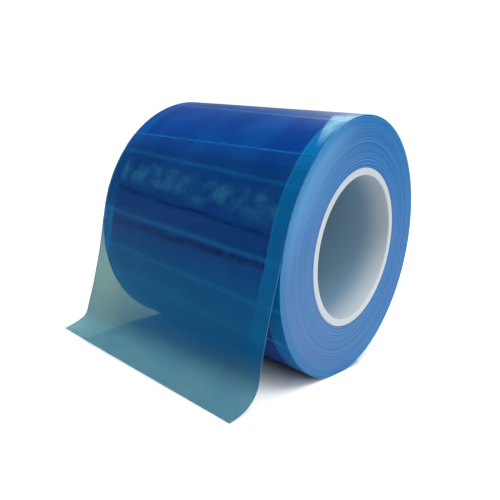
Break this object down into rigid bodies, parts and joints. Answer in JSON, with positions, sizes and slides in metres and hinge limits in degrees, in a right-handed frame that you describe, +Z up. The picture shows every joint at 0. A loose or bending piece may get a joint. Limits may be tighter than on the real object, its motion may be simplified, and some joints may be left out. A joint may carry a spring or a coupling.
{
  "type": "perforated protective film roll",
  "caption": "Wide roll of thin blue see-through film on a plastic core, lying on its side with its loose end hanging down.",
  "frame": {"origin": "the middle of the narrow flat that the roll rests on, at the height of the table", "axes": "+X along the roll's axis, -Y the side on which the loose end hangs, +Z up"},
  "size_m": [0.1016, 0.1325, 0.1145],
  "materials": {
    "core_plastic": "satin white",
    "wound_film": "satin, fine rings on the ends",
    "outer_lap_film": "glossy film over the laps beneath",
    "loose_film": "glossy see-through film"
  },
  "bodies": {
    "roll": {"core_tube": "core_plastic", "wound_film_pack": "wound_film", "film_sheet_2": "outer_lap_film", "film_sheet_3": "outer_lap_film", "film_sheet_4": "outer_lap_film"},
    "lifted_wrap": {"film_sheet_1_wrap": "loose_film"},
    "hanging_drop": {"film_sheet_1_drop": "loose_film"},
    "turned_bend": {"film_sheet_1_bend": "loose_film"},
    "tongue": {"film_sheet_1_tongue": "loose_film"}
  },
  "joints": [
    {"name": "sheet_lift", "type": "hinge", "parent": "roll", "child": "lifted_wrap", "pos_m": [0, -0.04448, 0.09315], "axis": [-1, 0, 0], "range_deg": [0, 50]},
    {"name": "tail_swing", "type": "hinge", "parent": "lifted_wrap", "child": "hanging_drop", "pos_m": [0, -0.05716, 0.06041], "axis": [-1, 0, 0], "range_deg": [0, 85]},
    {"name": "bend_upper", "type": "hinge", "parent": "hanging_drop", "child": "turned_bend", "pos_m": [0, -0.05989, 0.01303], "axis": [-1, 0, 0], "range_deg": [-38, 0]},
    {"name": "bend_lower", "type": "hinge", "parent": "turned_bend", "child": "tongue", "pos_m": [0, -0.06331, 0.00495], "axis": [-1, 0, 0], "range_deg": [-38, 0]}
  ],
  "couplings": [
    {"joint": "bend_upper", "follows": "tail_swing", "ratio": -0.4},
    {"joint": "bend_lower", "follows": "tail_swing", "ratio": -0.4}
  ]
}
